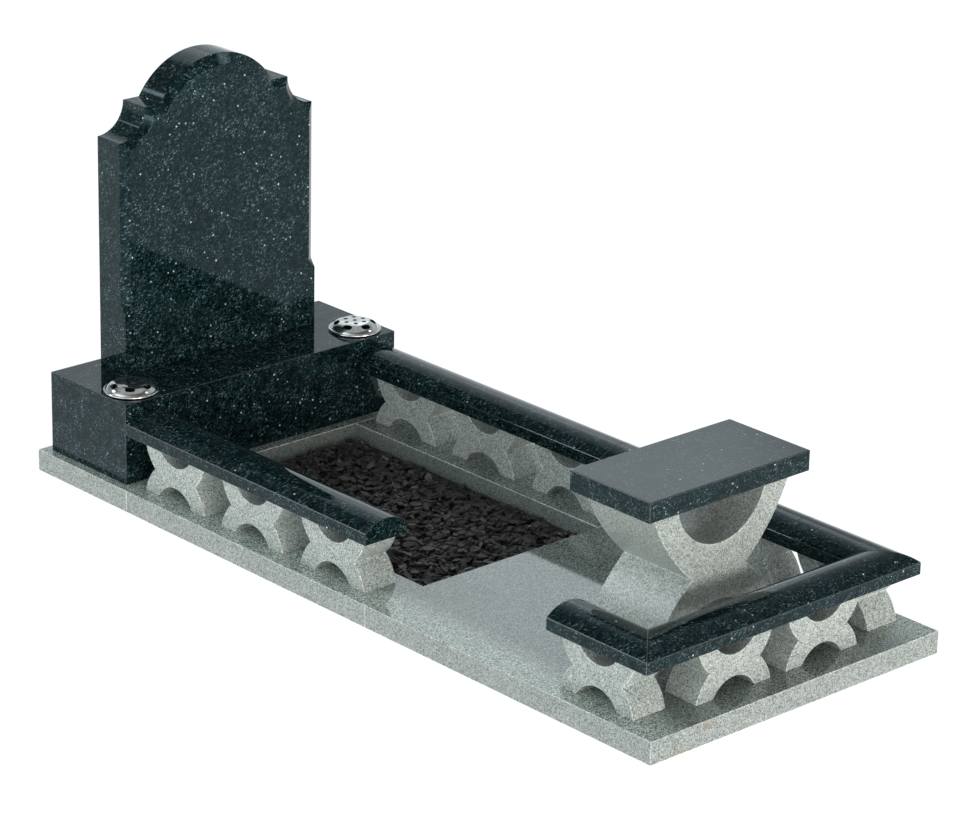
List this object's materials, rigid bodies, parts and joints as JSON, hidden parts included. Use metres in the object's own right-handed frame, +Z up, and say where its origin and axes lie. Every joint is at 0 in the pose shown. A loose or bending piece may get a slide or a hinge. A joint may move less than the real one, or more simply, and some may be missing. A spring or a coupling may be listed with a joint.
{
  "type": "kerbed memorial",
  "caption": "Full-length granite grave memorial with a shouldered headstone, a kerb of rails on short balusters, a slate plot, and a bench at the foot.",
  "frame": {"origin": "middle of the platform's underside, on the ground", "axes": "+Z up, +Y towards the head where the headstone stands, -Y towards the foot and the bench, +X to the right seen from the foot"},
  "size_m": [0.914, 2.2, 1.0403],
  "materials": {
    "dark_granite": "dark blue-green granite with pale flecks, mirror polished",
    "pale_granite": "light grey fine-grained granite, honed on the sides and polished on the platform's top",
    "slate": "loose plum and grey slate chippings",
    "chrome": "bright chromed pressing"
  },
  "bodies": {
    "root": {"head_landing": "pale_granite", "foot_slab": "pale_granite", "side_strip_left": "pale_granite", "side_strip_right": "pale_granite", "slate_bed": "slate", "headstone_base": "dark_granite", "headstone": "dark_granite", "flower_lid_left": "chrome", "flower_lid_right": "chrome", "baluster_left_1": "pale_granite", "baluster_left_2": "pale_granite", "baluster_left_3": "pale_granite", "baluster_left_4": "pale_granite", "baluster_right_1": "pale_granite", "baluster_right_2": "pale_granite", "baluster_right_3": "pale_granite", "baluster_right_4": "pale_granite", "baluster_right_5": "pale_granite", "baluster_right_6": "pale_granite", "baluster_foot_1": "pale_granite", "baluster_foot_2": "pale_granite", "rail_left_head": "dark_granite", "rail_left_return": "dark_granite", "rail_foot": "dark_granite", "rail_right_return": "dark_granite", "rail_right_middle": "dark_granite", "rail_right_head": "dark_granite", "bench_support": "pale_granite", "bench_seat": "dark_granite"}
  },
  "joints": []
}
